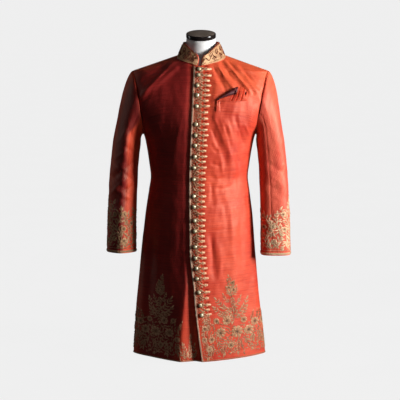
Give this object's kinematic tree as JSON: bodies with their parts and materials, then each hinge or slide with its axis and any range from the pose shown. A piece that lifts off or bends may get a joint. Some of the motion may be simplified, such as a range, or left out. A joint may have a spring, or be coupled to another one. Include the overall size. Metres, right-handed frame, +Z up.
{
  "type": "sherwani coat on a dress form",
  "caption": "Knee-length silk sherwani coat with a stand collar, full-length button placket, chest pocket and pocket square, closed and standing on a limbless dress form.",
  "frame": {"origin": "middle of the underside of the form's base plate, on the floor", "axes": "+Z up; the wearer faces -Y, and the wearer's left is +X"},
  "size_m": [0.6364, 0.2862, 1.1361],
  "materials": {
    "silk": "shot slub silk, orange red over crimson, soft sheen",
    "gold_braid": "metal thread braid and embroidery, antique gold",
    "button_pearl": "pearly dome in a dark gold rim",
    "form_cover": "matte white jersey cover",
    "form_gloss": "glossy near-black neck cap",
    "form_stand": "dark satin"
  },
  "bodies": {
    "root": {"front_left": "silk", "front_right": "silk", "back_left": "silk", "back_right": "silk", "sleeve_left_top_head": "silk", "sleeve_left_top_arm": "silk", "sleeve_left_top_cuff": "silk", "sleeve_left_under": "silk", "sleeve_right_top_head": "silk", "sleeve_right_top_arm": "silk", "sleeve_right_top_cuff": "silk", "sleeve_right_under": "silk", "collar": "silk", "pocket_welt": "silk", "pocket_square": "silk", "front_braid": "gold_braid", "button_01": "button_pearl", "button_02": "button_pearl", "button_03": "button_pearl", "button_04": "button_pearl", "button_05": "button_pearl", "button_06": "button_pearl", "button_07": "button_pearl", "button_08": "button_pearl", "button_09": "button_pearl", "button_10": "button_pearl", "button_11": "button_pearl", "button_12": "button_pearl", "button_13": "button_pearl", "button_14": "button_pearl", "button_15": "button_pearl", "button_16": "button_pearl", "button_17": "button_pearl", "button_18": "button_pearl", "button_19": "button_pearl", "button_20": "button_pearl", "button_21": "button_pearl", "button_22": "button_pearl", "form_torso": "form_cover", "form_neck_cap": "form_gloss", "form_pole": "form_stand", "form_base": "form_stand"}
  },
  "joints": []
}
